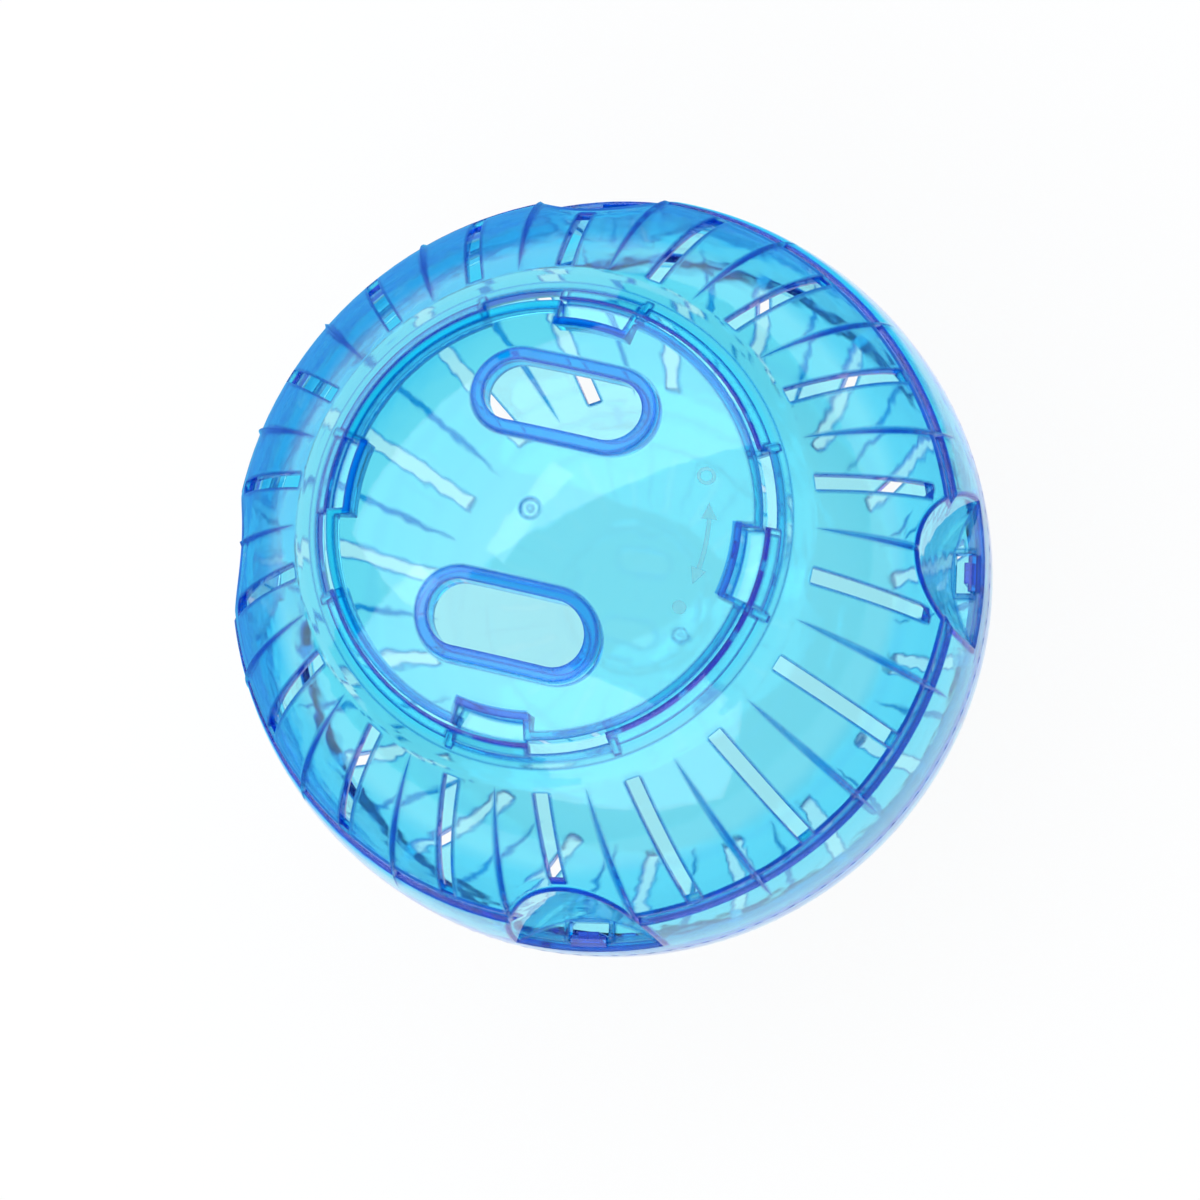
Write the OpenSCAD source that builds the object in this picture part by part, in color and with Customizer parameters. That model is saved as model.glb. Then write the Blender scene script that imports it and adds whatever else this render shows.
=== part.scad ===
// Clear run-about ball for a hamster: two slotted half shells that snap together
// at a smooth belt, and a round twist-lock lid on the front one.
// The origin is the centre of the ball, +Z points out of the lid, and +X points at one latch.

/* [Ball] */
// Diameter over the belt, and from pole to pole
ball_d = 140; // [134:1:160]
// Wall thickness of the mouldings
wall = 1.8; // [1.6:0.1:2]
// How far the slotted domes lie inside the belt at the seam
dome_step = 0.2; // [0.1:0.1:0.6]
// Height of the belt's ledge above the seam
belt_h = 20; // [19:0.5:22]
// Width of the ledge, on which each dome stands back from the belt
ledge_w = 1.1; // [0.8:0.1:1.5]
// Chamfer on the outer edge of the ledge
ledge_edge = 0.3; // [0.2:0.05:0.5]

/* [Air slots] */
// Number of slots, and of ribs, round each shell
slot_n = 18; // [14:4:22]
// Width of a slot
slot_w = 2.6; // [2:0.1:3.2]
// Distance from the foot of the collar to the slots
slot_gap_in = 0.5; // [0.3:0.1:2]
// Distance from the slots to the foot of the dome
slot_gap_out = 0.5; // [0.4:0.1:2]
// How much sooner the slots on either side of a scoop end
slot_short = 4.5; // [3:0.5:8]
// Distance from the slot above a scoop to the scoop
scoop_gap = 1.4; // [1:0.1:3]
// Length of the sloping end of a slot beside the collar
slot_ramp = 2.2; // [1:0.1:3]

/* [Ribs] */
// Width of a rib at its foot
rib_w = 1.2; // [1:0.1:1.8]
// Height of a rib above the dome, halfway along it
rib_rise = 0.65; // [0.5:0.05:0.9]
// Angle between the two sides of a rib
rib_angle = 80; // [60:5:90]
// How far a rib runs down the belt past the ledge
rib_tail = 7.5; // [5:0.5:9]

/* [Seam] */
// Height of the back shell's lip inside the front shell
lip_h = 2.4; // [1.8:0.1:3]
// Thickness of the lip
lip_t = 1; // [0.8:0.1:1.2]

/* [Door collar] */
// Width of the collar round the lid
collar_w = 6; // [5:0.1:7.5]
// Height of the collar's edge above the dome
collar_rise = 1.2; // [1:0.1:1.6]
// Slope of the collar's top
collar_slope = 43; // [40:1:44]
// Thickness of the wall round the lugs
drum_t = 1.6; // [1.4:0.1:2]
// Thickness of the ledges that carry the lid
ledge_t = 1.6; // [1.2:0.1:2]
// Thickness of the stops at the ends of the ledges
stop_t = 1.2; // [1:0.1:2]

/* [Lid] */
// Radius of the lid
lid_r = 38.5; // [37.5:0.1:39]
// How far the lid's edge stands above the collar
lid_proud = 0.4; // [0.2:0.1:0.8]
// Thickness of the lid's skirt
skirt_t = 1.8; // [1.5:0.1:2.2]
// How far the lugs reach past the lid's edge
lug_reach = 1.7; // [1.3:0.1:2]
// Thickness of the lugs
lug_t = 1.8; // [1.5:0.1:2.2]
// Angle that one lug covers
lug_span = 18.5; // [14:0.5:19]
// Angle from +X to the middle of the first lug, when locked
lug_at = -12; // [-14:1:-8]
// Angle that the lid turns from locked to open
lid_turn = 20.5; // [20:0.5:22]
// Radial depth of the pocket above each lug
pocket_depth = 3.3; // [2.5:0.1:4]
// Thickness of the pocket's back wall
pocket_wall = 1.5; // [1.2:0.1:2]
// Thickness of the pocket's side walls
pocket_side = 0.8; // [0.6:0.1:1.4]

/* [Finger openings] */
// Length of an opening
finger_len = 28.2; // [22:0.1:30]
// Width of an opening
finger_w = 11.2; // [8:0.1:12]
// Distance from the middle of the lid to the middle of an opening
finger_off = 19.8; // [18:0.1:21]
// Angle from +X to the first opening
finger_at = 78; // [70:1:90]
// Width of the rim round an opening
rim_w = 2.2; // [1.8:0.1:2.6]
// How far the rim stands above the lid
rim_rise = 0.8; // [0.4:0.1:1.2]
// How far the rim hangs below the lid
rim_drop = 3; // [1:0.1:3.5]

/* [Scoops] */
// Radius of the hollow of a thumb scoop
scoop_r = 23; // [21:0.5:25]
// Radial depth of the scoop at its floor
scoop_depth = 5.8; // [5.5:0.1:6.5]
// Lean of the scoop's back wall
scoop_lean = 5; // [4:0.5:6]
// Height of the scoop's floor above the seam
floor_z = 6; // [5.5:0.5:7]

/* [Latches] */
// Width of the bar that a latch hooks over
bar_w = 1.8; // [1.6:0.1:2]
// How far the hook reaches over the bar
hook = 1.1; // [0.8:0.1:1.2]
// Width of a latch's stem
stem_w = 3.8; // [3:0.1:4.4]
// Thickness of the stem
stem_t = 1.4; // [1.2:0.1:1.5]
// Width of the latch's head
head_w = 6.6; // [6:0.1:7.5]
// Thickness of the head
head_t = 1.5; // [1.2:0.1:2]
// Length of the stem from its bend to the floor of the scoop
latch_len = 12; // [11:0.5:12.5]
// Angle that a latch is pressed inwards
latch_turn = 7; // [6:0.5:8]
// Height of the boss that carries a latch
boss_h = 3; // [2:0.5:4]
// Width of the rim round the latch's window
frame_w = 0.9; // [0.6:0.1:1.2]
// Height of the rim round the window
frame_h = 1; // [0.6:0.1:1.4]

/* [Gate marks] */
// Radius of the moulding mark at each pole
gate_r = 1.7; // [1.2:0.1:2.4]
// Depth of the mark
gate_depth = 0.4; // [0.2:0.1:0.6]
// Radius of the pip in the mark
pip_r = 0.6; // [0.4:0.1:0.8]

/* [Clearances] */
// Gap round pieces that move
fit = 0.3; // [0.2:0.05:0.4]
// Gap between the lid's rim and the door hole
door_gap = 0.4; // [0.3:0.05:0.5]
// Gap between the lid's lugs and the collar above them
lug_gap = 0.25; // [0.2:0.05:0.3]
// Gap between pieces that rest on each other
seat_gap = 0.1; // [0.05:0.05:0.2]

/* [Hidden] */
$fn = 180;
// Overrun of a cut past the face it opens
over = 1;
lug_n = 4;
latch_n = 4;

ball_r = ball_d / 2;
// The belt follows the ball, and each dome is a sphere moved towards its own pole
dome_r = ball_r - dome_step;
in_r = dome_r - wall;
// Outer edge of the ledge, and the upright neck on which the dome stands
ledge_r = sqrt(ball_r * ball_r - belt_h * belt_h);
neck_r = ledge_r - ledge_w;

// Height of the dome's sphere of radius rad at the distance r from the axis
function dome_z(r, rad = dome_r) = dome_step + sqrt(rad * rad - r * r);
// Point at the angle a from the pole on a sphere round the dome's centre
function on_dome(rad, a) = [rad * sin(a), dome_step + rad * cos(a)];
// Angle in degrees of an arc of length len
function arc_angle(len, rad) = len / rad * 180 / PI;

// Collar: a chamfer up from the dome, then a cone up to the door hole
collar_r = lid_r + collar_w;
foot_r = collar_r + collar_rise;
foot_z = dome_z(foot_r);
edge_z = foot_z + collar_rise;
hole_r = lid_r + door_gap;
lug_r = lid_r + lug_reach;
drum_in = lug_r + fit;
drum_out = drum_in + drum_t;
plate_v = wall / cos(collar_slope);
function collar_z(r) = edge_z + (collar_r - r) * tan(collar_slope);
function under_z(r) = collar_z(r) - plate_v;

// Lid: a dome from its edge up to the pole of the ball
lid_edge_z = collar_z(lid_r) + lid_proud;
lid_crown = ball_r - lid_edge_z;
lid_dome_r = (lid_r * lid_r + lid_crown * lid_crown) / (2 * lid_crown);
lid_dome_z = ball_r - lid_dome_r;
function lug_top(r) = under_z(r) - lug_gap;
pocket_floor = lug_top(lid_r);
skirt_z = pocket_floor - lug_t;
pocket_in = lid_r - pocket_depth;
ledge_in = lid_r - skirt_t;
ledge_top = skirt_z - seat_gap;
ledge_z = ledge_top - ledge_t;

// Angles round the door: lug, pocket, notch and stops
pocket_span = lug_span + 2 * arc_angle(fit, lug_r);
notch_span = lug_span + 2 * arc_angle(2 * fit, lug_r);
stop_gap_a = arc_angle(fit, lug_r);
stop_a = arc_angle(stop_t, lug_r);
first_stop = lug_at - lug_span / 2 - stop_gap_a;
last_stop = lug_at + lug_span / 2 + lid_turn + stop_gap_a;

// Slots and ribs, as angles from the pole of the dome
slot_in_a = asin((foot_r + slot_gap_in) / dome_r);
slot_out_a = asin(neck_r / dome_r) - arc_angle(slot_gap_out, dome_r);
slot_step = 360 / slot_n;

// Scoops and latches
floor_r = sqrt(ball_r * ball_r - floor_z * floor_z);
scoop_in = floor_r - scoop_depth;
scoop_x = scoop_in + scoop_r / cos(scoop_lean);
// Where the scoop's back wall, a leaning line, comes out of the dome, as an angle from the pole
lean_m = tan(scoop_lean);
lean_x = scoop_in + lean_m * floor_z;
lean_k = 1 + lean_m * lean_m;
lean_b = lean_m * lean_x + dome_step;
lean_c = lean_x * lean_x + dome_step * dome_step - dome_r * dome_r;
wall_top_z = (lean_b + sqrt(lean_b * lean_b - lean_k * lean_c)) / lean_k;
wall_top_a = atan2(lean_x - lean_m * wall_top_z, wall_top_z - dome_step);
window_out = floor_r - bar_w;
stem_out = window_out - fit;
stem_in = stem_out - stem_t;
bend_z = floor_z - latch_len;
window_in = stem_in - latch_len * sin(latch_turn) - fit;
window_w = head_w + 2 * fit;
hook_out = window_out + hook;
boss_w = stem_w + 2 * wall;
lip_out = sqrt(pow(ball_r - wall, 2) - lip_h * lip_h) - fit;
lip_in = lip_out - lip_t;

plastic = [0, 0.72, 0.95, 0.55];

// Middle of the circle through three points
function det(a, b) = a.x * b.y - a.y * b.x;
function middle(a, b, c) =
    let (p = b - a, q = c - a, d = 2 * det(p, q))
    a + [q.y * (p * p) - p.y * (q * q), p.x * (q * q) - q.x * (p * p)] / d;

// Everything inside one half ball, as an outline beside the axis
module half_outline(inset) {
    edge_r = ledge_r - ledge_edge - inset;
    top_z = belt_h - inset;
    intersection() {
        circle(ball_r - inset);
        polygon([[0, 0], [ball_r, 0], [ball_r, top_z + edge_r - ball_r], [edge_r, top_z], [0, top_z]]);
    }
    intersection() {
        translate([0, dome_step]) circle(dome_r - inset);
        square([neck_r - inset, ball_r]);
    }
}

// Hollow of one half ball
module hollow_outline() {
    intersection() {
        circle(ball_r - wall);
        translate([-over, -over]) square([ball_r + over, belt_h - wall + over]);
    }
    intersection() {
        translate([0, dome_step]) circle(in_r);
        translate([-over, -over]) square([neck_r - wall + over, ball_r + over]);
    }
}

// Wall of one half shell, from the seam to the pole
module half_wall() {
    difference() {
        half_outline(0);
        hollow_outline();
    }
}

// Where a slot at the angle phi ends: short above and beside the scoops
function beside(phi) = min([for (k = [0 : latch_n]) abs(phi - k * 360 / latch_n)]);
function slot_end(phi) =
    beside(phi) < slot_step / 4 ? wall_top_a - arc_angle(scoop_gap, dome_r)
    : beside(phi) < slot_step * 3 / 4 ? slot_out_a - arc_angle(slot_short, dome_r)
    : slot_out_a;

// One slot's cutter, with a sloping end beside the collar
module slot_cut(end_a) {
    half_a = (end_a - slot_in_a) / 2;
    out_r = dome_r + over;
    deep_r = in_r - over;
    rotate([90, 0, 0]) linear_extrude(slot_w, center = true) polygon([
        on_dome(out_r, slot_in_a),
        on_dome(out_r / cos(half_a), slot_in_a + half_a),
        on_dome(out_r, end_a),
        on_dome(deep_r, end_a),
        on_dome(deep_r, slot_in_a + arc_angle(slot_ramp, dome_r))
    ]);
}

module slots() {
    for (k = [0 : slot_n - 1]) {
        phi = (k + 0.5) * slot_step;
        rotate([0, 0, phi]) slot_cut(slot_end(phi));
    }
}

// One rib: a ridge with a sharp back that rises from a point beside the collar, bridges the ledge
// and runs out to a point on the belt, cut from a disc with a sharp rim
module rib() {
    tip = on_dome(dome_r, slot_in_a);
    tail_z = belt_h - rib_tail;
    tail = [sqrt(ball_r * ball_r - tail_z * tail_z), tail_z];
    top = on_dome(dome_r + rib_rise, (slot_in_a + atan2(tail.x, tail.y)) / 2);
    mid = middle(tip, top, tail);
    disc_r = norm(top - mid);
    intersection() {
        rotate([90, 0, 0]) linear_extrude(rib_w, center = true) difference() {
            translate(mid) circle(disc_r);
            half_outline(wall / 2);
            translate([-2 * ball_r, -2 * ball_r]) square([2 * ball_r + tip.x - over, 4 * ball_r]);
            translate([0, -2 * ball_r]) square([2 * ball_r, 2 * ball_r + tail_z - over]);
        }
        for (side = [-1, 1]) translate([mid.x, 0, mid.y]) rotate([side * 90, 0, 0])
            cylinder(r1 = disc_r, r2 = disc_r - rib_w / tan(rib_angle / 2), h = rib_w);
    }
}

module ribs() {
    for (k = [0 : slot_n - 1]) rotate([0, 0, k * slot_step]) rib();
}

module round_latches() {
    for (k = [0 : latch_n - 1]) rotate([0, 0, k * 360 / latch_n]) children();
}

module round_lugs(angle) {
    for (k = [0 : lug_n - 1]) rotate([0, 0, angle + k * 360 / lug_n]) children();
}

// Pie slice between two angles, tall enough for the whole door
module slice(from_a, to_a, out_r) {
    far = out_r / cos((to_a - from_a) / 2);
    linear_extrude(ball_r + over) polygon([
        [0, 0],
        [far * cos(from_a), far * sin(from_a)],
        [far * cos(to_a), far * sin(to_a)]
    ]);
}

// Leaning round hollow of a scoop, grown by more, above the height low
module scoop(more, low) {
    intersection() {
        translate([scoop_x, 0, floor_z]) rotate([0, -scoop_lean, 0])
            translate([0, 0, -belt_h]) cylinder(r = scoop_r + more, h = belt_h + ball_r);
        translate([0, -ball_r, low]) cube([ball_r + scoop_r, ball_r * 2, ball_r]);
    }
}

// Upright box over the window, grown by more on three sides
module window(more, low, high) {
    translate([window_in - more, -window_w / 2 - more, low])
        cube([window_out - window_in + more, window_w + 2 * more, high - low]);
}

module collar_outline() {
    polygon([
        [foot_r, foot_z],
        [collar_r, edge_z],
        [hole_r, collar_z(hole_r)],
        [hole_r, under_z(hole_r)],
        [drum_in, under_z(drum_in)],
        [drum_in, ledge_z],
        [drum_out, ledge_z],
        [drum_out, dome_z(drum_out, in_r)],
        [foot_r, dome_z(foot_r, in_r)]
    ]);
}

// Ledges under the lid's skirt, between the stops
module ledges() {
    intersection() {
        rotate_extrude() translate([ledge_in, ledge_z]) square([drum_in + drum_t / 2 - ledge_in, ledge_t]);
        for (k = [0 : lug_n - 1])
            slice(last_stop + k * 360 / lug_n, first_stop + (k + 1) * 360 / lug_n, drum_out);
    }
}

// Stops for the lugs, one at each end of each ledge
module stops() {
    stop_in = hole_r + fit;
    drum_mid = drum_in + drum_t / 2;
    for (k = [0 : lug_n - 1], side = [[first_stop, -1], [last_stop, 1]])
        rotate([0, 0, side[0] + side[1] * stop_a / 2 + k * 360 / lug_n])
            rotate([90, 0, 0]) linear_extrude(stop_t, center = true) polygon([
                [ledge_in + fit, ledge_z - stop_t / 2],
                [drum_mid, ledge_z - stop_t / 2],
                [drum_mid, under_z(drum_mid) + wall / 2],
                [stop_in, under_z(stop_in) + wall / 2],
                [stop_in, ledge_top],
                [ledge_in + fit, ledge_top]
            ]);
}

// Openings in the collar's rim that let the lugs in
module notches() {
    intersection() {
        rotate_extrude() translate([hole_r - over, ledge_top])
            square([drum_in - hole_r + over, ball_r - ledge_top]);
        round_lugs(lug_at + lid_turn) slice(-notch_span / 2, notch_span / 2, drum_out);
    }
}

module front_shell() color(plastic) difference() {
    union() {
        difference() {
            union() {
                difference() {
                    rotate_extrude() difference() {
                        half_wall();
                        square([drum_out, ball_r + over]);
                        square([ball_r + over, seat_gap]);
                    }
                    slots();
                }
                rotate_extrude() collar_outline();
                ribs();
                intersection() {
                    rotate_extrude() half_outline(0);
                    round_latches() scoop(wall, floor_z - wall);
                }
            }
            round_latches() scoop(0, floor_z);
            notches();
        }
        ledges();
        stops();
        round_latches() window(frame_w, floor_z - wall / 2, floor_z + frame_h);
    }
    round_latches() window(0, floor_z - wall - over, floor_z + frame_h + over);
}

// Lip inside the seam, cut away where a latch passes
module lip() {
    difference() {
        rotate_extrude() polygon([
            [lip_in, -lip_h],
            [ball_r - wall / 2, -lip_h],
            [ball_r - wall / 2, 0],
            [lip_out, 0],
            [lip_out, lip_h],
            [lip_in, lip_h]
        ]);
        round_latches() translate([lip_in - over, -stem_w / 2 - fit, -lip_h - over])
            cube([stem_out + fit - lip_in + over, stem_w + 2 * fit, 2 * lip_h + 2 * over]);
    }
}

// Bosses on the inside of the belt that carry the latches
module bosses() {
    intersection() {
        sphere(ball_r - wall / 2);
        round_latches() translate([stem_in - fit, -boss_w / 2, bend_z - boss_h])
            cube([ball_r - stem_in, boss_w, boss_h]);
    }
}

// Dimple with a pip where the plastic entered the mould, at the top of the ball
module gate_mark() {
    translate([0, 0, ball_r - gate_depth]) difference() {
        cylinder(r = gate_r, h = gate_depth + over);
        cylinder(r = pip_r, h = gate_depth / 2);
    }
}

module back_shell() color(plastic) {
    mirror([0, 0, 1]) difference() {
        union() {
            difference() {
                // Turned so that the start of the round lies between a rib and a slot
                rotate([0, 0, slot_step / 4]) rotate_extrude() half_wall();
                slots();
            }
            ribs();
        }
        gate_mark();
    }
    lip();
    bosses();
}

// Round-ended oblong across the direction of an opening
module oblong(more) {
    straight = (finger_len - finger_w) / 2;
    square([finger_w + 2 * more, 2 * straight], center = true);
    for (side = [-1, 1]) translate([0, side * straight]) circle(finger_w / 2 + more);
}

module finger_prism(more) {
    for (side = [0, 180]) rotate([0, 0, finger_at + side]) translate([finger_off, 0, ledge_z])
        linear_extrude(ball_r - ledge_z + over) oblong(more);
}

// Filled lid dome, grown by more, beside the axis
module lid_outline(more) {
    translate([0, lid_dome_z]) circle(lid_dome_r + more);
}

module lid_wall() {
    intersection() {
        difference() {
            lid_outline(0);
            lid_outline(-wall);
        }
        translate([0, skirt_z]) square([lid_r, ball_r - skirt_z + over]);
    }
    intersection() {
        lid_outline(0);
        translate([ledge_in, skirt_z]) square([skirt_t, ball_r - skirt_z]);
    }
}

// Blocks from which the pockets above the lugs are cut
module pocket_blocks() {
    side_a = arc_angle(pocket_side, lid_r);
    intersection() {
        rotate_extrude() intersection() {
            lid_outline(0);
            translate([pocket_in - pocket_wall, skirt_z])
                square([pocket_depth + pocket_wall, ball_r - skirt_z]);
        }
        round_lugs(lug_at) slice(-pocket_span / 2 - side_a, pocket_span / 2 + side_a, drum_out);
    }
}

module pocket_cuts() {
    intersection() {
        rotate_extrude() translate([pocket_in, pocket_floor])
            square([drum_out - pocket_in, ball_r - pocket_floor]);
        round_lugs(lug_at) slice(-pocket_span / 2, pocket_span / 2, drum_out + drum_t);
    }
}

// Lugs that turn in under the collar
module lugs() {
    intersection() {
        rotate_extrude() polygon([
            [pocket_in, skirt_z],
            [lid_r, skirt_z],
            [lug_r, lug_top(lug_r) - lug_t],
            [lug_r, lug_top(lug_r)],
            [lid_r, pocket_floor],
            [pocket_in, pocket_floor]
        ]);
        round_lugs(lug_at) slice(-lug_span / 2, lug_span / 2, drum_out);
    }
}

module lid() color(plastic) difference() {
    union() {
        difference() {
            union() {
                rotate_extrude() lid_wall();
                pocket_blocks();
            }
            pocket_cuts();
        }
        lugs();
        intersection() {
            rotate_extrude() difference() {
                lid_outline(rim_rise);
                lid_outline(-wall - rim_drop);
                translate([-2 * lid_dome_r, -2 * lid_dome_r]) square([2 * lid_dome_r, 4 * lid_dome_r]);
            }
            finger_prism(rim_w);
        }
    }
    finger_prism(0);
    gate_mark();
}

// Springy tongue that rises through the window and hooks over the bar
module latch(angle) color(plastic) rotate([0, 0, angle]) {
    translate([stem_in, -stem_w / 2, bend_z + seat_gap])
        cube([stem_t, stem_w, latch_len + head_t - seat_gap]);
    rotate([90, 0, 0]) linear_extrude(head_w, center = true) polygon([
        [stem_in + stem_t / 2, floor_z + seat_gap],
        [hook_out, floor_z + seat_gap],
        [hook_out, floor_z + head_t / 2],
        [stem_out, floor_z + head_t],
        [stem_in + stem_t / 2, floor_z + head_t]
    ]);
}

front_shell();
back_shell();
lid();
latch(0);  // latch_right
latch(90);  // latch_top
latch(180);  // latch_left
latch(270);  // latch_bottom
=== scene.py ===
import bmesh
import bpy
import math
from bpy.props import FloatProperty, FloatVectorProperty, PointerProperty
from bpy.types import Operator, Panel, PropertyGroup
from mathutils import Matrix, Vector


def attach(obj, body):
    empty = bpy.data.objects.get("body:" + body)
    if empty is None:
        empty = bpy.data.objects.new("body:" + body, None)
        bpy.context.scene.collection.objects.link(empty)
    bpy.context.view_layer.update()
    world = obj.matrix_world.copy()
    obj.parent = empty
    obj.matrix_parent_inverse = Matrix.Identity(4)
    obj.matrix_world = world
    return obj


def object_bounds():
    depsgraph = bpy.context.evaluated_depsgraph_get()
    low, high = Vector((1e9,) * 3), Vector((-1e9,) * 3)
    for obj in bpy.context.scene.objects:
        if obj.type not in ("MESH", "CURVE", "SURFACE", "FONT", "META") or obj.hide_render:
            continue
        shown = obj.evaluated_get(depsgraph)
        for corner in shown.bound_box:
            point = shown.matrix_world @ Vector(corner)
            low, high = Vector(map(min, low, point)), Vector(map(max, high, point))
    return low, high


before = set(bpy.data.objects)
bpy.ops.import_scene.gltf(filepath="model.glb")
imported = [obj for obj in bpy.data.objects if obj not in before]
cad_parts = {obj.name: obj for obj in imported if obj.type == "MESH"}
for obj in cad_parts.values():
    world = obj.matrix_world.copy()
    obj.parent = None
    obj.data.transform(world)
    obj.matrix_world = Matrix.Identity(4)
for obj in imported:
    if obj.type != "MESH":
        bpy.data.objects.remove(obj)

bl_info = {
    "name": "Clear run-about ball",
    "version": (1, 0, 0),
    "blender": (4, 5, 0),
    "location": "View3D > Sidebar > Run-about ball",
    "description": "Dresses the clear blue hamster ball and sets up its studio",
    "category": "Object",
}

# Light runs along inside the walls before it leaves, so a path needs this many bounces to keep its blue
LIGHT_BOUNCES = 40
MM = 0.001

# The ball as the frame gives it
LOW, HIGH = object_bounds()
BALL_R = (HIGH.x - LOW.x) / 2
LATCHES = [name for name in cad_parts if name.startswith("latch")]

# The photograph's camera: its size in pixels, its focal length in pixels, and where the ball's centre
# falls from the middle of the picture
PHOTO_PX = 1200
FOCAL_PX = 4585.6
CENTRE_RIGHT_PX = 12.3
CENTRE_UP_PX = 22.9
# Distance from the camera to the ball's centre, in ball radii
CAMERA_BALL_RADII = 12.09
# Sideways and upward parts of the lid's axis, and the turn of the latches, as the photograph shows them
LID_AXIS_RIGHT = -0.203
LID_AXIS_UP = 0.163
LATCH_TURN_DEG = 2.49
# Any sensor does, because the focal length follows it
SENSOR_WIDE_MM = 36
CLIP_START = 10 * MM

# The plastic
WALL = 1.8 * MM
POLYSTYRENE_IOR = 1.59
# The mould's waves change the gloss too, by up to this much roughness
WAVE_ROUGH = 0.04
# Cosine between the rounded and the flat surface, where the painted edge shade starts and where it is full
EDGE_SHADE_STARTS, EDGE_SHADE_FULL = 0.995, 0.94
# The absorbing volume's density, over what its strongest channel needs
DENSITY_HEADROOM = 1.05
LATCH_ROUND = 0.3 * MM
MARK_ROUND = 0.05 * MM
FROST_ROUGH = 0.35

# Places of the lid where its plastic is deep, as the part's source has them: the bars behind the pockets, and
# the rims of the finger openings
BAR_R, BAR_HALF_WIDE = 34.45 * MM, 0.75 * MM
BAR_AT_DEG, BAR_HALF_SPAN_DEG = -12, 10.9
FINGER_AT_DEG, FINGER_OFF, FINGER_HALF_STRAIGHT = 78, 19.8 * MM, 8.5 * MM
RIM_R, RIM_HALF_WIDE = 6.7 * MM, 1.1 * MM
WHITE = (1, 1, 1, 1)

# The lid's marks: places as angles from +X, and shapes in widths of the arrow's line
ARROW_FROM_DEG, ARROW_TO_DEG = -23.4, 4
RING_AT_DEG, DOT_AT_DEG = 13, -32
HEAD_LONG, HEAD_HALF_WIDE = 4, 1.8
RING_OUTER, RING_INNER, DOT_R = 2.2, 1.4, 1.6
OUTLINE_STEPS = 24
# A mark keeps this share of its height clear of the lid, so that the two plastics don't overlap
MARK_GAP_SHARE = 1 / 3
MERGE = 0.01 * MM

# The paper's painted blue shadow of the ball: near and far blue this far past the white, and white again by
# this share of its whole reach
NEAR_BLUE_PAST, FAR_BLUE_PAST = 10 * MM, 40 * MM
FADED_SHARE = 1.5
# Share of the paper's light that no shadow reaches
GLOW_SHARE = 0.9
FLOOR_BALL_RADII = 40
FLOOR_GAP = 0.2 * MM

# The lamps: turn and lift in degrees round the camera's axis, width and height in metres, and glow
LAMPS = {
    "soft_box_upper": (-24, 39, 2.05, 0.66, 1.15),
    "soft_box_lower": (-24, -41, 2.05, 0.66, 1.15),
    "strip_light": (-25, 18, 0.38, 0.09, 1.0),
}
LAMP_AWAY = 800 * MM
WATTS_PER_SQUARE_METRE = 4

# The room: the way to its bright side, how far along it the room is dimmest and brightest, and how bright then
BRIGHT_WAY = (0.5, -0.5, 0.7)
DIM_ALONG, BRIGHT_ALONG = -0.1, 0.7
DIM_SHARE = 0.25
BRIGHT_GREY = 0.7


def linear(hex_colour):
    """sRGB hex colour as linear RGB."""
    value = hex_colour.lstrip("#")
    channels = [int(value[i:i + 2], 16) / 255 for i in (0, 2, 4)]
    return tuple(c / 12.92 if c <= 0.04045 else ((c + 0.055) / 1.055) ** 2.4 for c in channels)


class BallSizes(PropertyGroup):
    wave_span: FloatProperty(
        name="Wave span", description="Distance between the soft waves that moulding leaves in the walls",
        default=5 * MM, min=2 * MM, max=50 * MM, unit="LENGTH")
    wave_height: FloatProperty(
        name="Wave height", description="Height of those waves",
        default=0.032 * MM, min=0, max=0.5 * MM, unit="LENGTH", precision=5)
    edge_round: FloatProperty(
        name="Edge rounding", description="Radius that the polished mould leaves on edges",
        default=0.9 * MM, min=0, max=2 * MM, unit="LENGTH", precision=5)
    arrow_r: FloatProperty(
        name="Arrow radius", description="Distance from the middle of the lid to the arrow",
        default=30 * MM, min=24 * MM, max=34 * MM, unit="LENGTH")
    arrow_wide: FloatProperty(
        name="Arrow width", description="Width of the arrow's line",
        default=0.7 * MM, min=0.4 * MM, max=1.5 * MM, unit="LENGTH", precision=5)
    mark_high: FloatProperty(
        name="Mark height", description="Thickness of the arrow and of the ring and dot beside it",
        default=0.15 * MM, min=0.05 * MM, max=0.4 * MM, unit="LENGTH", precision=5)
    # Painted blue shadow of the ball on the paper: where its white ends, where that white lies, how wide the
    # shadow is
    white_r: FloatProperty(
        name="White paper", description="Radius of the paper's white, where the ball's blue shade starts",
        default=116 * MM, min=60 * MM, max=400 * MM, unit="LENGTH")
    white_aside: FloatProperty(
        name="White aside", description="How far that white lies aside of the ball, right and down alike",
        default=28.5 * MM, min=0, max=100 * MM, unit="LENGTH")
    painted_shadow_wide: FloatProperty(
        name="Shade width", description="Width of the blue shade before it fades into white again",
        default=200 * MM, min=60 * MM, max=900 * MM, unit="LENGTH")


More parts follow.
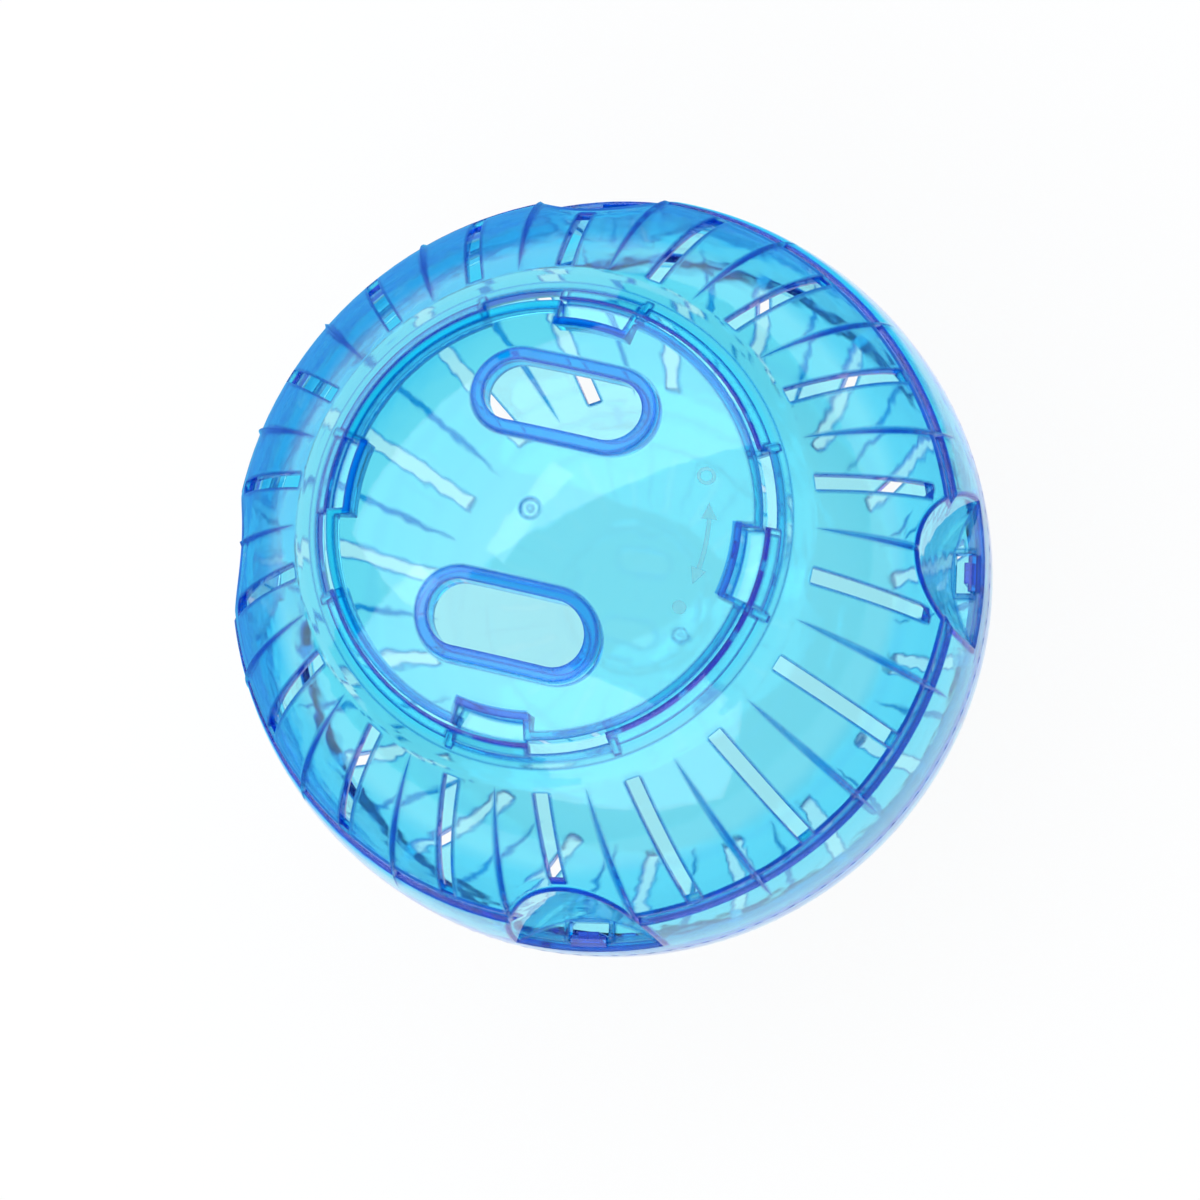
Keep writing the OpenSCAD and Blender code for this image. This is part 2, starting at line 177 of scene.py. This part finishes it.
class BallColours(PropertyGroup):
    through_wall: FloatVectorProperty(
        name="Through one wall", description="What white light becomes through one wall of the ball",
        default=linear("#B0F4FE"), size=3, subtype="COLOR", min=0.001, max=1)
    # Painted edge shade: deep blue painted into the colour along every sharp edge
    edge: FloatVectorProperty(
        name="Edges", description="Tint at a sharp edge, where light that ran along the wall comes out",
        default=linear("#0868C0"), size=3, subtype="COLOR", min=0.001, max=1)
    deep: FloatVectorProperty(
        name="Deep places", description="Tint of the latches and pocket bars, where light comes the long way",
        default=linear("#38A0F4"), size=3, subtype="COLOR", min=0, max=1)
    rims: FloatVectorProperty(
        name="Rims", description="Tint of the rims of the finger openings",
        default=linear("#48CCFF"), size=3, subtype="COLOR", min=0, max=1)
    # Painted blue shadow of the ball on the paper, seen only through or off the plastic
    painted_shadow_near: FloatVectorProperty(
        name="Near shade", description="Paper where light reaches it through the rim of the ball",
        default=linear("#10DCFF"), size=3, subtype="COLOR", min=0, max=1)
    painted_shadow_far: FloatVectorProperty(
        name="Far shade", description="Paper that light reaches after running along the walls",
        default=linear("#10A0E8"), size=3, subtype="COLOR", min=0, max=1)
    paper: FloatVectorProperty(
        name="Paper", description="Colour of the paper that the ball lies on",
        default=linear("#F4F5F6"), size=3, subtype="COLOR", min=0, max=1)


def opaque(colour):
    """A colour with full alpha, as a node's colour socket takes it."""
    return tuple(colour) + (1,)


def add_node(tree, kind, settings=(), links=()):
    """Adds a node, sets its properties and sockets, and links other sockets into it."""
    node = tree.nodes.new(kind)
    for key, value in dict(settings).items():
        if hasattr(node, str(key)):
            setattr(node, key, value)
        else:
            node.inputs[key].default_value = value
    for key, source in dict(links).items():
        tree.links.new(source, node.inputs[key])
    return node


def new_material(name):
    """An empty node material and its node tree."""
    material = bpy.data.materials.new(name)
    material.use_nodes = True
    material.node_tree.nodes.clear()
    return material, material.node_tree


def lid_tint(tree, place, colours):
    """Tint of the lid's faces: none, deep blue in the pocket bars, and blue in the finger openings' rims."""
    level = add_node(tree, "ShaderNodeVectorMath", {"operation": "MULTIPLY", 1: (1, 1, 0)}, {0: place})
    split = add_node(tree, "ShaderNodeSeparateXYZ", {}, {"Vector": place})
    # The four bars: a ring round the lid's axis, cut off beside each pocket
    out = add_node(tree, "ShaderNodeVectorMath", {"operation": "LENGTH"}, {0: level.outputs["Vector"]})
    in_ring = add_node(tree, "ShaderNodeMath", {"operation": "COMPARE", 1: BAR_R, 2: BAR_HALF_WIDE}, {
        0: out.outputs["Value"]})
    angle = add_node(tree, "ShaderNodeMath", {"operation": "ARCTAN2"}, {
        0: split.outputs["Y"], 1: split.outputs["X"]})
    turn = add_node(tree, "ShaderNodeMath", {"operation": "SUBTRACT", 1: math.radians(BAR_AT_DEG)}, {
        0: angle.outputs["Value"]})
    # Angle from the nearest of the four, a quarter turn apart
    off_bar = add_node(tree, "ShaderNodeMath", {"operation": "PINGPONG", 1: math.radians(45)}, {
        0: turn.outputs["Value"]})
    in_span = add_node(tree, "ShaderNodeMath", {
        "operation": "LESS_THAN", 1: math.radians(BAR_HALF_SPAN_DEG)}, {0: off_bar.outputs["Value"]})
    bars = add_node(tree, "ShaderNodeMath", {"operation": "MULTIPLY"}, {
        0: in_ring.outputs["Value"], 1: in_span.outputs["Value"]})
    # The two rims: a band round the middle line of each finger opening, laid along X and folded onto one
    turned = add_node(tree, "ShaderNodeMapping", {"Rotation": (0, 0, math.radians(90 - FINGER_AT_DEG))}, {
        "Vector": level.outputs["Vector"]})
    folded = add_node(tree, "ShaderNodeVectorMath", {"operation": "ABSOLUTE"}, {0: turned.outputs["Vector"]})
    from_end = add_node(tree, "ShaderNodeVectorMath", {
        "operation": "SUBTRACT", 1: (FINGER_HALF_STRAIGHT, FINGER_OFF, 0)}, {0: folded.outputs["Vector"]})
    past_line = add_node(tree, "ShaderNodeVectorMath", {"operation": "MAXIMUM", 1: (0, -BALL_R, 0)}, {
        0: from_end.outputs["Vector"]})
    reach = add_node(tree, "ShaderNodeVectorMath", {"operation": "LENGTH"}, {0: past_line.outputs["Vector"]})
    rims = add_node(tree, "ShaderNodeMath", {"operation": "COMPARE", 1: RIM_R, 2: RIM_HALF_WIDE}, {
        0: reach.outputs["Value"]})
    rimmed = add_node(tree, "ShaderNodeMix", {"data_type": "RGBA", 6: WHITE, 7: opaque(colours.rims)}, {
        "Factor": rims.outputs["Value"]})
    barred = add_node(tree, "ShaderNodeMix", {"data_type": "RGBA", 7: opaque(colours.deep)}, {
        "Factor": bars.outputs["Value"], 6: rimmed.outputs[2]})
    return barred.outputs[2]


def polystyrene(name, context, rounding, rough=0.0, face_colour=(1, 1, 1), face_tint=None):
    """Clear blue polystyrene with this radius on its edges, this rough, and its faces tinted once more.

    It colours light by its way through the plastic, so faces are pale and long ways deep. Soft waves from the
    mould bend what is seen through it. Every edge has a deep-blue painted shade in its colour, standing in for
    the dark lines that bent light, and light run along inside the wall, show there.
    """
    made = bpy.data.materials.get(name)
    if made:
        return made
    material, tree = new_material(name)
    sizes, colours = context.scene.ball_sizes, context.scene.ball_colours
    place = add_node(tree, "ShaderNodeTexCoord").outputs["Object"]
    waves = add_node(tree, "ShaderNodeTexNoise", {
        "Scale": 1 / sizes.wave_span, "Detail": 1.0, "Roughness": 0.5}, {"Vector": place})
    rounded = add_node(tree, "ShaderNodeBevel", {"samples": 4, "Radius": rounding})
    bump = add_node(tree, "ShaderNodeBump", {"Distance": sizes.wave_height, "Strength": 1.0}, {
        "Height": waves.outputs["Fac"], "Normal": rounded.outputs["Normal"]})
    shine = add_node(tree, "ShaderNodeMapRange", {"To Min": rough, "To Max": rough + WAVE_ROUGH}, {
        "Value": waves.outputs["Fac"]})
    unrounded = add_node(tree, "ShaderNodeNewGeometry")
    # Painted shade: the colour turns deep blue where the rounded normal leaves the flat one
    bend = add_node(tree, "ShaderNodeVectorMath", {"operation": "DOT_PRODUCT"}, {
        0: rounded.outputs["Normal"], 1: unrounded.outputs["Normal"]})
    edge = add_node(tree, "ShaderNodeMapRange", {"From Min": EDGE_SHADE_STARTS, "From Max": EDGE_SHADE_FULL}, {
        "Value": bend.outputs["Value"]})
    # The painted edge shade deepens as absorption does, so it passes through azure on its way to deep blue
    painted_edge_shade = add_node(tree, "ShaderNodeGamma", {"Color": opaque(colours.edge)}, {
        "Gamma": edge.outputs["Result"]})
    colour_with_painted_edge_shade = add_node(tree, "ShaderNodeMix", {
        "data_type": "RGBA", "blend_type": "MULTIPLY", "Factor": 1.0, 6: opaque(face_colour)}, {
        7: painted_edge_shade.outputs["Color"]})
    if face_tint:
        tree.links.new(face_tint(tree, place, colours), colour_with_painted_edge_shade.inputs[6])
    plastic = add_node(tree, "ShaderNodeBsdfPrincipled", {
        "IOR": POLYSTYRENE_IOR, "Transmission Weight": 1.0}, {
        "Base Color": colour_with_painted_edge_shade.outputs[2], "Normal": bump.outputs["Normal"],
        "Roughness": shine.outputs["Result"]})
    taken = [-math.log(c) / WALL for c in colours.through_wall]
    density = max(taken) * DENSITY_HEADROOM
    depth = add_node(tree, "ShaderNodeVolumeAbsorption", {
        "Color": opaque(1 - t / density for t in taken), "Density": density})
    add_node(tree, "ShaderNodeOutputMaterial", {}, {
        "Surface": plastic.outputs["BSDF"], "Volume": depth.outputs["Volume"]})
    return material


def clear_polystyrene(context):
    """General purpose polystyrene, injection moulded in a polished tool: glass-clear, hard and glossy."""
    return polystyrene("blue_polystyrene_moulded_clear", context, context.scene.ball_sizes.edge_round)


def latch_polystyrene(context):
    """The back shell's plastic where light has run up the latches' tongues: a deeper blue with tight edges."""
    return polystyrene("blue_polystyrene_moulded_deep", context, LATCH_ROUND,
                       face_colour=context.scene.ball_colours.deep)


def lid_polystyrene(context):
    """The same clear plastic, deep blue where the lid's bars and rims make the light's way long."""
    return polystyrene("blue_polystyrene_moulded_lid", context, context.scene.ball_sizes.edge_round,
                       face_tint=lid_tint)


def frosted_polystyrene(context):
    """The same plastic where the tool was spark eroded: frosted, so that marks read paler than the lid."""
    return polystyrene("blue_polystyrene_spark_eroded", context, MARK_ROUND, FROST_ROUGH)


def paper_with_painted_shadow(sizes, colours):
    """Matt white paper with a painted blue shadow of the ball on it.

    The camera sees it white with a faint real shadow. Light that comes through the plastic or off it sees it
    white round a middle aside of the ball, and past that white a painted blue shadow, near and far blue.
    """
    material, tree = new_material("paper_matt_white_painted_shadow")
    ray = add_node(tree, "ShaderNodeLightPath")
    place = add_node(tree, "ShaderNodeTexCoord")
    middle = (sizes.white_aside, -sizes.white_aside, 0)
    far = add_node(tree, "ShaderNodeVectorMath", {"operation": "DISTANCE", 1: middle}, {
        0: place.outputs["Object"]})
    faded = FADED_SHARE * (sizes.white_r + sizes.painted_shadow_wide)
    out = add_node(tree, "ShaderNodeMapRange", {"From Min": 0, "From Max": faded}, {
        "Value": far.outputs["Value"]})
    # Painted blue shadow: white up to the white's radius, near then far blue past it, white again at the end
    shade = add_node(tree, "ShaderNodeValToRGB", {}, {"Fac": out.outputs["Result"]})
    stops = shade.color_ramp.elements
    stops[0].color = stops[1].color = WHITE
    stops[0].position = sizes.white_r / faded
    for past, colour in ((NEAR_BLUE_PAST, colours.painted_shadow_near), (FAR_BLUE_PAST, colours.painted_shadow_far),
                         (sizes.painted_shadow_wide, colours.painted_shadow_far)):
        stops.new((sizes.white_r + past) / faded).color = opaque(colour)
    # Plain white to the camera, the painted shadow to light through or off the plastic
    painted_shadow_unless_camera = add_node(tree, "ShaderNodeMix", {"data_type": "RGBA", 7: WHITE}, {
        "Factor": ray.outputs["Is Camera Ray"], 6: shade.outputs["Color"]})
    glow = add_node(tree, "ShaderNodeEmission", {"Strength": 1.0}, {"Color": painted_shadow_unless_camera.outputs[2]})
    paper = add_node(tree, "ShaderNodeBsdfDiffuse", {"Color": opaque(colours.paper), "Roughness": 1.0})
    seen = add_node(tree, "ShaderNodeMath", {"operation": "MAXIMUM"}, {
        0: ray.outputs["Is Camera Ray"], 1: ray.outputs["Is Glossy Ray"]})
    seen_all = add_node(tree, "ShaderNodeMath", {"operation": "MAXIMUM"}, {
        0: seen.outputs["Value"], 1: ray.outputs["Is Transmission Ray"]})
    share = add_node(tree, "ShaderNodeMath", {"operation": "MULTIPLY", 1: GLOW_SHARE}, {
        0: seen_all.outputs["Value"]})
    mix = add_node(tree, "ShaderNodeMixShader", {}, {
        "Fac": share.outputs["Value"], 1: paper.outputs["BSDF"], 2: glow.outputs["Emission"]})
    add_node(tree, "ShaderNodeOutputMaterial", {}, {"Surface": mix.outputs["Shader"]})
    return material


def dress(node_name, material):
    """Gives every slot of a CAD node one material."""
    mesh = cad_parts[node_name].data
    mesh.materials.clear()
    mesh.materials.append(material)


class BALL_OT_front_shell(Operator):
    """Gives the front half shell its clear plastic"""
    bl_idname = "ball.front_shell"
    bl_label = "Front shell"

    def execute(self, context):
        dress("front_shell", clear_polystyrene(context))
        return {"FINISHED"}


class BALL_OT_back_shell(Operator):
    """Gives the back half shell its clear plastic"""
    bl_idname = "ball.back_shell"
    bl_label = "Back shell"

    def execute(self, context):
        dress("back_shell", clear_polystyrene(context))
        return {"FINISHED"}


class BALL_OT_latches(Operator):
    """Gives the four latches their clear plastic"""
    bl_idname = "ball.latches"
    bl_label = "Latches"

    def execute(self, context):
        for name in LATCHES:
            dress(name, latch_polystyrene(context))
        return {"FINISHED"}


class BALL_OT_lid(Operator):
    """Gives the lid its clear plastic"""
    bl_idname = "ball.lid"
    bl_label = "Lid"

    def execute(self, context):
        dress("lid", lid_polystyrene(context))
        return {"FINISHED"}


def polar(radius, turn):
    """Point at this distance from the lid's axis and this angle in degrees from +X, seen from the front."""
    return Vector((radius * math.cos(math.radians(turn)), radius * math.sin(math.radians(turn))))


def arrow_outlines(radius, wide, start, end):
    """Outlines of a curved line with a head at each end, between two angles from +X in degrees."""
    head = math.degrees(HEAD_LONG * wide / radius)
    steps = OUTLINE_STEPS
    angles = [start + head + (end - start - 2 * head) * i / steps for i in range(steps + 1)]
    outer = [polar(radius + wide / 2, a) for a in angles]
    inner = [polar(radius - wide / 2, a) for a in angles]
    outlines = [[outer[i], outer[i + 1], inner[i + 1], inner[i]] for i in range(steps)]
    barb = HEAD_HALF_WIDE * wide
    for tip, base in ((start, start + head), (end, end - head)):
        outlines.append([polar(radius, tip), polar(radius + barb, base), polar(radius + wide / 2, base),
                         polar(radius - wide / 2, base), polar(radius - barb, base)])
    return outlines


def ring_outlines(centre, outer, inner):
    """Outlines of a flat ring, or of a disc where inner is zero."""
    steps = OUTLINE_STEPS
    rim = [centre + polar(outer, 360 * i / steps) for i in range(steps)]
    hole = [centre + polar(inner, 360 * i / steps) for i in range(steps)]
    if not inner:
        return [rim]
    return [[rim[i - 1], rim[i], hole[i], hole[i - 1]] for i in range(steps)]


def raised_mark(name, outlines, lid, high):
    """A thin raised mark that follows the lid's dome, made from flat outlines that share their edges."""
    mesh = bmesh.new()
    for outline in outlines:
        corners = []
        for point in outline:
            hit, spot, _, _ = lid.ray_cast(Vector((point.x, point.y, HIGH.z + BALL_R)), Vector((0, 0, -1)))
            if not hit:
                raise ValueError(f"{name} reaches past the lid")
            corners.append(mesh.verts.new(spot + Vector((0, 0, high * MARK_GAP_SHARE))))
        mesh.faces.new(corners)
    bmesh.ops.remove_doubles(mesh, verts=mesh.verts, dist=MERGE)
    lifted = bmesh.ops.extrude_face_region(mesh, geom=list(mesh.faces), use_keep_orig=True)
    tops = [part for part in lifted["geom"] if isinstance(part, bmesh.types.BMVert)]
    bmesh.ops.translate(mesh, verts=tops, vec=(0, 0, high))
    bmesh.ops.recalc_face_normals(mesh, faces=mesh.faces)
    data = bpy.data.meshes.new(name)
    mesh.to_mesh(data)
    mesh.free()
    mark = bpy.data.objects.new(name, data)
    bpy.context.scene.collection.objects.link(mark)
    return mark


class BALL_OT_lid_marks(Operator):
    """Adds the lid's curved arrow, with a plain ring at its open end and a dot at its locked end"""
    bl_idname = "ball.lid_marks"
    bl_label = "Lid marks"

    def execute(self, context):
        sizes = context.scene.ball_sizes
        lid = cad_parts["lid"]
        wide = sizes.arrow_wide
        ring_at, dot_at = polar(sizes.arrow_r, RING_AT_DEG), polar(sizes.arrow_r, DOT_AT_DEG)
        marks = {
            "lid_arrow": arrow_outlines(sizes.arrow_r, wide, ARROW_FROM_DEG, ARROW_TO_DEG),
            "lid_ring": ring_outlines(ring_at, RING_OUTER * wide, RING_INNER * wide),
            "lid_dot": ring_outlines(dot_at, DOT_R * wide, 0),
        }
        frosted = frosted_polystyrene(context)
        for name, outlines in marks.items():
            mark = raised_mark(name, outlines, lid, sizes.mark_high)
            mark.data.materials.append(frosted)
            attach(mark, "lid")
        return {"FINISHED"}


def place_camera(scene):
    """Puts the camera where the photograph was taken from."""
    # Camera axes: right, down and away; the lid's axis points at the camera
    axis = Vector((LID_AXIS_RIGHT, -LID_AXIS_UP, 0))
    axis.z = -math.sqrt(1 - axis.x ** 2 - axis.y ** 2)
    right = (Vector((1, 0, 0)) - axis * axis.x).normalized()
    up = axis.cross(right)
    if up.y < 0:
        up = -up
    turn = math.radians(LATCH_TURN_DEG)
    ball_x = math.cos(turn) * right + math.sin(turn) * up
    ball_y = math.sin(turn) * right - math.cos(turn) * up
    to_camera = Matrix((ball_x, ball_y, axis)).transposed()
    distance = CAMERA_BALL_RADII * BALL_R
    centre = Vector((CENTRE_RIGHT_PX / FOCAL_PX * distance, -CENTRE_UP_PX / FOCAL_PX * distance, distance))
    data = bpy.data.cameras.new("camera")
    data.sensor_width = SENSOR_WIDE_MM
    data.lens = FOCAL_PX / PHOTO_PX * data.sensor_width
    data.clip_start = CLIP_START
    camera = bpy.data.objects.new("camera", data)
    scene.collection.objects.link(camera)
    spin = to_camera.transposed() @ Matrix.Diagonal((1, -1, -1))
    camera.matrix_world = Matrix.Translation(-(to_camera.transposed() @ centre)) @ spin.to_4x4()
    scene.camera = camera


def hang_lamp(scene, name, turn, lift, wide, high, glow):
    """Hangs a soft box, turned right and lifted from the camera's axis by so many degrees, facing the ball."""
    lamp = bpy.data.lights.new(name, "AREA")
    lamp.shape = "RECTANGLE"
    lamp.size = wide
    lamp.size_y = high
    lamp.energy = WATTS_PER_SQUARE_METRE * wide * high * glow
    light = bpy.data.objects.new(name, lamp)
    scene.collection.objects.link(light)
    side, rise = math.radians(turn), math.radians(lift)
    aim = Vector((math.sin(side) * math.cos(rise), math.sin(rise), math.cos(side) * math.cos(rise)))
    view = scene.camera.matrix_world.to_3x3().normalized()
    light.matrix_world = Matrix.Translation(view @ aim * LAMP_AWAY) @ (
        view @ aim.to_track_quat("Z", "Y").to_matrix()).to_4x4()


def studio_room(colours):
    """A room that is bright overhead and towards the lower right, and a dim blue towards the upper left."""
    room = bpy.data.worlds.new("studio")
    room.use_nodes = True
    tree = room.node_tree
    tree.nodes.clear()
    place = add_node(tree, "ShaderNodeTexCoord")
    side = add_node(tree, "ShaderNodeVectorMath", {"operation": "DOT_PRODUCT", 1: BRIGHT_WAY}, {
        0: place.outputs["Generated"]})
    light = add_node(tree, "ShaderNodeMapRange", {"From Min": DIM_ALONG, "From Max": BRIGHT_ALONG}, {
        "Value": side.outputs["Value"]})
    tone = add_node(tree, "ShaderNodeValToRGB", {}, {"Fac": light.outputs["Result"]})
    tone.color_ramp.interpolation = "EASE"
    # The room's dim side takes a share of the painted shadow's far blue
    tone.color_ramp.elements[0].color = opaque(DIM_SHARE * c for c in colours.painted_shadow_far)
    tone.color_ramp.elements[1].color = opaque([BRIGHT_GREY] * 3)
    dim = add_node(tree, "ShaderNodeBackground", {"Strength": 1.0}, {"Color": tone.outputs["Color"]})
    add_node(tree, "ShaderNodeOutputWorld", {}, {"Surface": dim.outputs["Background"]})
    return room


class BALL_OT_stage(Operator):
    """Lays the white paper with its painted blue shadow, hangs the soft lights and places the camera"""
    bl_idname = "ball.stage"
    bl_label = "Set up the studio"

    def execute(self, context):
        scene = context.scene
        place_camera(scene)
        bpy.ops.mesh.primitive_plane_add(size=FLOOR_BALL_RADII * BALL_R, location=(0, 0, LOW.z - FLOOR_GAP))
        floor = context.active_object
        floor.name = "floor"
        floor.data.materials.append(paper_with_painted_shadow(scene.ball_sizes, scene.ball_colours))
        for name, setting in LAMPS.items():
            hang_lamp(scene, name, *setting)
        scene.world = studio_room(scene.ball_colours)
        scene.view_settings.view_transform = "Standard"
        scene.cycles.max_bounces = LIGHT_BOUNCES
        scene.cycles.transmission_bounces = LIGHT_BOUNCES
        scene.cycles.glossy_bounces = LIGHT_BOUNCES
        return {"FINISHED"}


STEPS = (BALL_OT_front_shell, BALL_OT_back_shell, BALL_OT_latches, BALL_OT_lid, BALL_OT_lid_marks,
         BALL_OT_stage)


class BALL_PT_sidebar(Panel):
    """Sizes, colours and steps of the ball"""
    bl_idname = "BALL_PT_sidebar"
    bl_label = "Run-about ball"
    bl_space_type = "VIEW_3D"
    bl_region_type = "UI"
    bl_category = "Run-about ball"

    def draw(self, context):
        for group in (context.scene.ball_sizes, context.scene.ball_colours):
            for key in group.__annotations__:
                self.layout.prop(group, key)
        for step in STEPS:
            self.layout.operator(step.bl_idname)


CLASSES = (BallSizes, BallColours) + STEPS + (BALL_PT_sidebar,)


def register():
    for cls in CLASSES:
        bpy.utils.register_class(cls)
    bpy.types.Scene.ball_sizes = PointerProperty(type=BallSizes)
    bpy.types.Scene.ball_colours = PointerProperty(type=BallColours)


def unregister():
    del bpy.types.Scene.ball_sizes, bpy.types.Scene.ball_colours
    for cls in reversed(CLASSES):
        bpy.utils.unregister_class(cls)


def main():
    register()
    bpy.ops.ball.front_shell()
    bpy.ops.ball.back_shell()
    bpy.ops.ball.latches()
    bpy.ops.ball.lid()
    bpy.ops.ball.lid_marks()
    bpy.ops.ball.stage()


if __name__ == "__main__":
    main()
